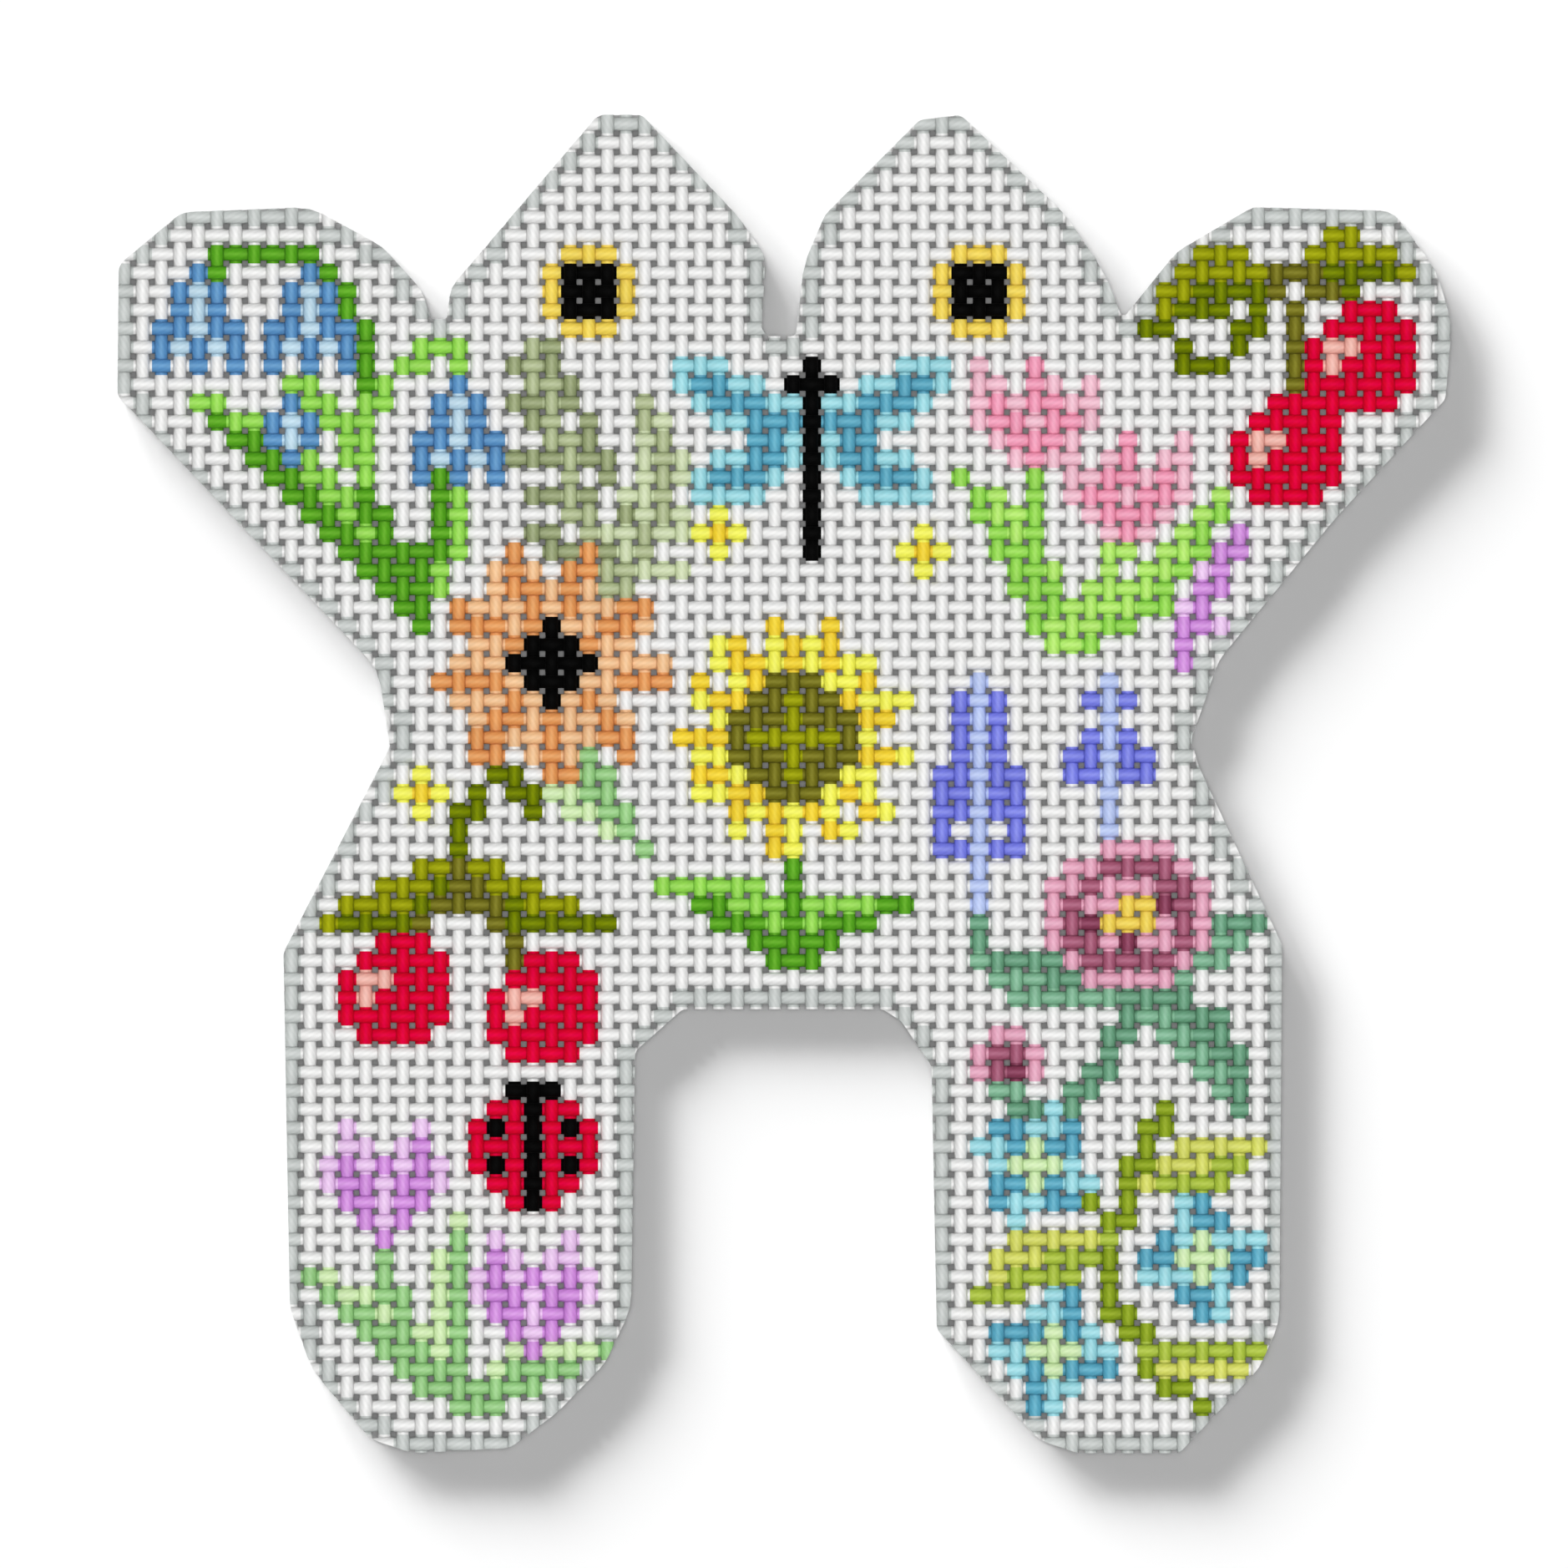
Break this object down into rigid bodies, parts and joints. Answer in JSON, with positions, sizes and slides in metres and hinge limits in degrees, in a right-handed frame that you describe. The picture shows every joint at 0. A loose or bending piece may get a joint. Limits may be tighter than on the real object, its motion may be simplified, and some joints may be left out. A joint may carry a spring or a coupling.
{
  "type": "needlepoint canvas panel",
  "caption": "Flat plain-woven cotton canvas panel cut to a small animal's outline and painted with eyes, flowers and leaves, ready for needlepoint stitching.",
  "frame": {"origin": "middle of the underside, centred on the panel's width and height", "axes": "+X to the right across the hands, +Y up towards the brow lobes, +Z out of the painted face"},
  "size_m": [0.1012, 0.1016, 0.0012],
  "materials": {
    "painted_canvas": "matt sized cotton canvas, off-white, hand painted crossing by crossing"
  },
  "bodies": {
    "root": {"canvas_panel": "painted_canvas"}
  },
  "joints": []
}
